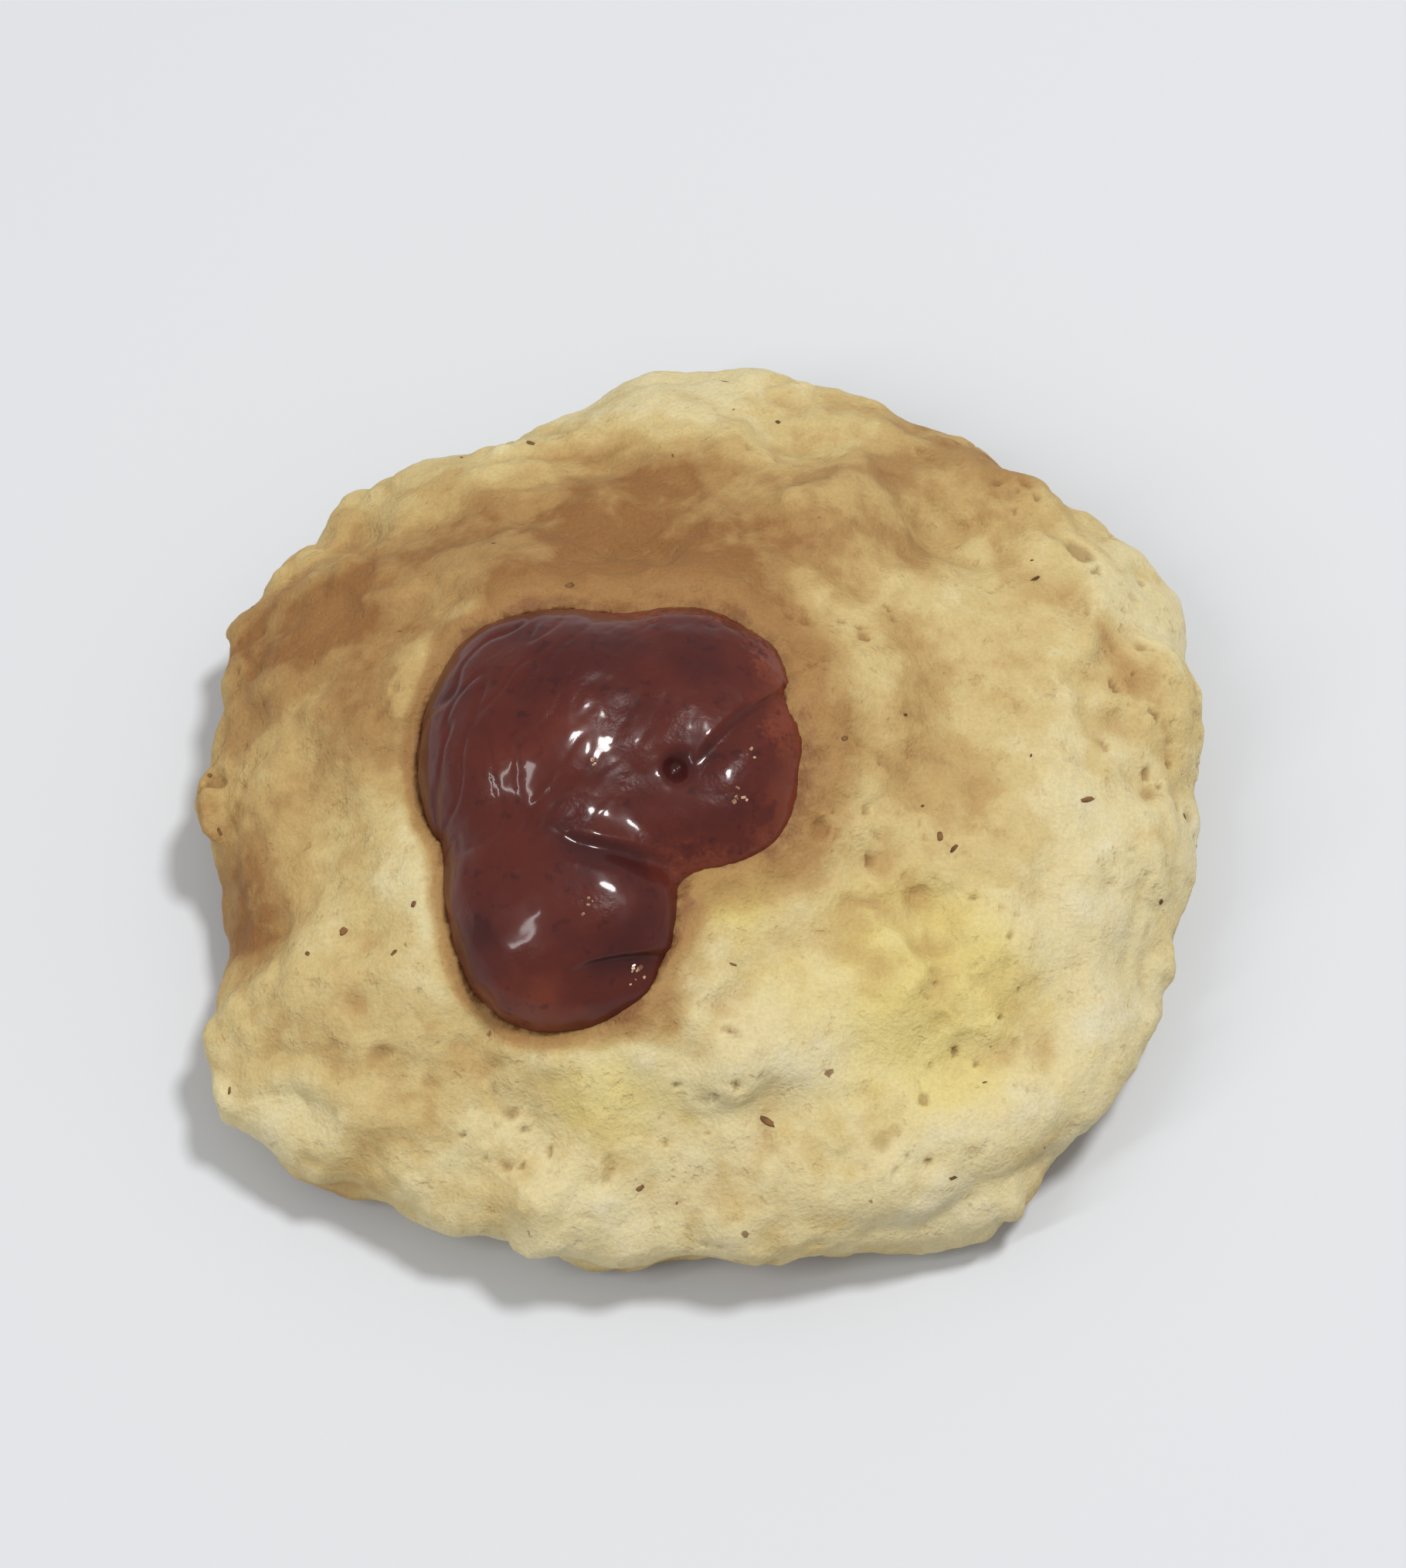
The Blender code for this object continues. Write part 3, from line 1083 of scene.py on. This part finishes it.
def wrinkle_at(place, middle, width):
    """How deep a wrinkle runs here, from 0 to 1: long thin ones, on the cherry's left and low down."""
    drift = noise.noise(place / WRINKLE_LENGTH) * WRINKLE_SPACING
    across = (place.x - WRINKLE_LEAN * place.y + drift) / WRINKLE_SPACING
    along = (place.y + WRINKLE_LEAN * place.x) / WRINKLE_LENGTH
    line = abs(noise.noise(Vector((across, along, place.z / WRINKLE_LENGTH))))
    left = ease((middle.x - place.x) / width + WRINKLE_LEFT)
    behind = ease((place.y - WRINKLE_FRONT) / WRINKLE_LENGTH)
    return left * behind * ease(1.0 - line / WRINKLE_SHARPNESS)


def crease_at(place, start, end):
    """How deep one crease runs here, from 0 to 1: steep on one side, shallow on the other."""
    run = end - start
    flat = Vector((place.x, place.y, 0.0)) - start
    along = flat.dot(run) / run.length_squared
    wander = CREASE_WIDTH * noise.noise(place / WRINKLE_LENGTH)
    aside = run.normalized().cross(UP).dot(flat) + wander
    width = CREASE_WIDTH if aside > 0.0 else CREASE_WIDTH * CREASE_SLOPE
    ends = ease(1.0 + CREASE_OVERRUN - abs(2.0 * along - 1.0))
    return ends * ease(1.0 - abs(aside) / width)


def hole_at(place):
    """How deep the stone's hole is here, from 0 to 1."""
    aside = math.hypot(place.x - HOLE_PLACE.x, place.y - HOLE_PLACE.y)
    ragged = 1.0 + HOLE_RAGGEDNESS * noise.noise(place / HOLE_RADIUS)
    return 1.0 - ease(aside / (HOLE_RADIUS * ragged))


def right_and_back(place, middle, width, lean, start):
    """How far to the right and the back of the cherry a place is, from 0 to 1."""
    return ease(start + (place.x - middle.x + lean * (place.y - middle.y)) / width)


def glow_at(place, middle, width, distance):
    """How much light comes through the flesh here, from 0 to 1: at its rim and foot, and right and back."""
    rim = 1.0 - ease(distance / RIM_REACH)
    foot = ease((FOOT_START - place.y) / RIM_REACH)
    side = right_and_back(place, middle, width, SIDE_LEAN, SIDE_START)
    return min(1.0, RIM_GLOW * rim + max(FOOT_GLOW * foot, SIDE_GLOW * side))


def crystals_at(place, middle, width, distance):
    """How much sugar crystallised in the skin here, from 0 to 1."""
    band = 1.0 - ease((distance - CRYSTAL_CLEAR) / CRYSTAL_BAND)
    side = right_and_back(place, middle, width, CRYSTAL_LEAN, CRYSTAL_START)
    patch = ease(CRYSTAL_COVER + CRYSTAL_CONTRAST * noise.noise(place / CRYSTAL_PATCH))
    return band * side * patch


def make_cherry(material):
    cherry = copy_of_node("cherry", "glace_cherry")
    remesh(cherry, CHERRY_VOXEL)
    smooth(cherry, CHERRY_SMOOTHING_ROUNDS)
    swell(cherry, CHERRY_SWELL)
    middle = middle_of_node("cherry")
    width = cherry.dimensions.x
    dough_node = surface_of(frame["nodes"]["dough"])
    plain = skin_of(cherry)
    places = [place for place, _ in plain]
    to_dough = [distance_from(dough_node, place) for place in places]
    glow = [glow_at(place, middle, width, distance) for place, distance in zip(places, to_dough)]
    crystals = [crystals_at(place, middle, width, distance) for place, distance in zip(places, to_dough)]
    knobs = [
        share * (0.5 + 0.5 * noise.noise(place / CRYSTAL_SIZE)) for place, share in zip(places, crystals)
    ]
    set_attribute(cherry, "glow", glow)
    set_attribute(cherry, "crystals", crystals)
    set_weights(cherry, "wrinkles", [wrinkle_at(place, middle, width) for place in places])
    set_weights(cherry, "creases", [max(crease_at(place, *ends) for ends in CREASES) for place in places])
    set_weights(cherry, "hole", [hole_at(place) for place in places])
    set_weights(cherry, "knobs", knobs)
    for layer in CHERRY_RELIEF:
        displace(cherry, *layer)
    swell(cherry, -WRINKLE_DEPTH, "wrinkles")
    swell(cherry, -CREASE_DEPTH, "creases")
    swell(cherry, -HOLE_DEPTH, "hole")
    swell(cherry, CRYSTAL_HEIGHT, "knobs")
    set_attribute(cherry, "relief", relief_over(cherry, plain, CHERRY_RELIEF_UNIT))
    finish(cherry, material)
    return cherry


def make_flecks(dough, cherry_surface, material):
    """Thin flakes of brown almond skin, sunk level with the dough."""
    draw = random.Random(FLECK_SEED)
    flake = rough_ball("flake", FLECK_ROUGHNESS, FLECK_SEED)

    def accept(vertex):
        if vertex.co.z < FLECK_LOWEST or vertex.normal.z < FLECK_STEEPEST:
            return 0.0
        return 1.0 if distance_from(cherry_surface, vertex.co) > FLECK_CLEAR else 0.0

    flecks = []
    for place, normal in spots_on(dough, FLECK_COUNT, draw, accept):
        length = draw.uniform(*FLECK_LENGTH) / 2.0
        turn = turned_to(normal, draw.uniform(0.0, math.tau))
        scale = (length, length * draw.uniform(*FLECK_WIDTH), FLECK_THICKNESS)
        flecks.append(copy_at(flake, place, turn, scale))
    dough_surface = surface_of(dough)
    for near, length, spin in LARGE_FLECKS:
        place, normal, _, _ = dough_surface.find_nearest(near)
        scale = (length / 2.0, length * LARGE_FLECK_WIDTH / 2.0, LARGE_FLECK_THICKNESS)
        flecks.append(copy_at(flake, place, turned_to(normal, spin), scale))
    bpy.data.objects.remove(flake)
    return join_all("almond_skin_flecks", flecks, material)


def make_sugar(cherry_surface, material):
    """Sugar that crystallised on the cherry, in a few small groups of grains."""
    draw = random.Random(SUGAR_SEED)
    deselect_all()
    bpy.ops.mesh.primitive_cube_add(size=1.0)
    grain = bpy.context.object
    in_edit_mode(grain, lambda: bpy.ops.mesh.bevel(offset=SUGAR_BEVEL, segments=1, affect="EDGES"))
    middles = [(x, y) for x, y, count in SUGAR_GROUPS for _ in range(count)]
    grains = []
    for x, y in middles:
        above = Vector((draw.gauss(x, SUGAR_REACH), draw.gauss(y, SUGAR_REACH), WELL_ABOVE))
        place, normal, _, _ = cherry_surface.ray_cast(above, -UP)
        width = draw.uniform(*SUGAR_WIDTH)
        tilt = Matrix.Rotation(draw.uniform(-SUGAR_TILT, SUGAR_TILT), 4, "X")
        turn = turned_to(normal, draw.uniform(0.0, math.tau)) @ tilt
        scale = (width, width * draw.uniform(*SUGAR_STRETCH), width * SUGAR_FLATNESS)
        grains.append(copy_at(grain, place, turn, scale))
    bpy.data.objects.remove(grain)
    return join_all("sugar_grains", grains, material)


def main():
    make_view()
    make_light()
    make_floor()
    crumb = make_crumb_group()
    browning_and_shade = make_browning_group()
    cherry = make_cherry(make_cherry_material())
    cherry_surface = surface_of(cherry)
    dough = make_dough(cherry, cherry_surface, make_dough_material(crumb, browning_and_shade))
    flecks = make_flecks(dough, cherry_surface, make_fleck_material())
    sugar = make_sugar(cherry_surface, make_sugar_material())
    for piece, slot in (
        (dough, "baked_dough"),
        (cherry, "glace_cherry"),
        (flecks, "baked_dough"),
        (sugar, "glace_cherry"),
    ):
        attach(piece, "root")
    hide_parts("dough")
    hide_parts("cherry")


main()
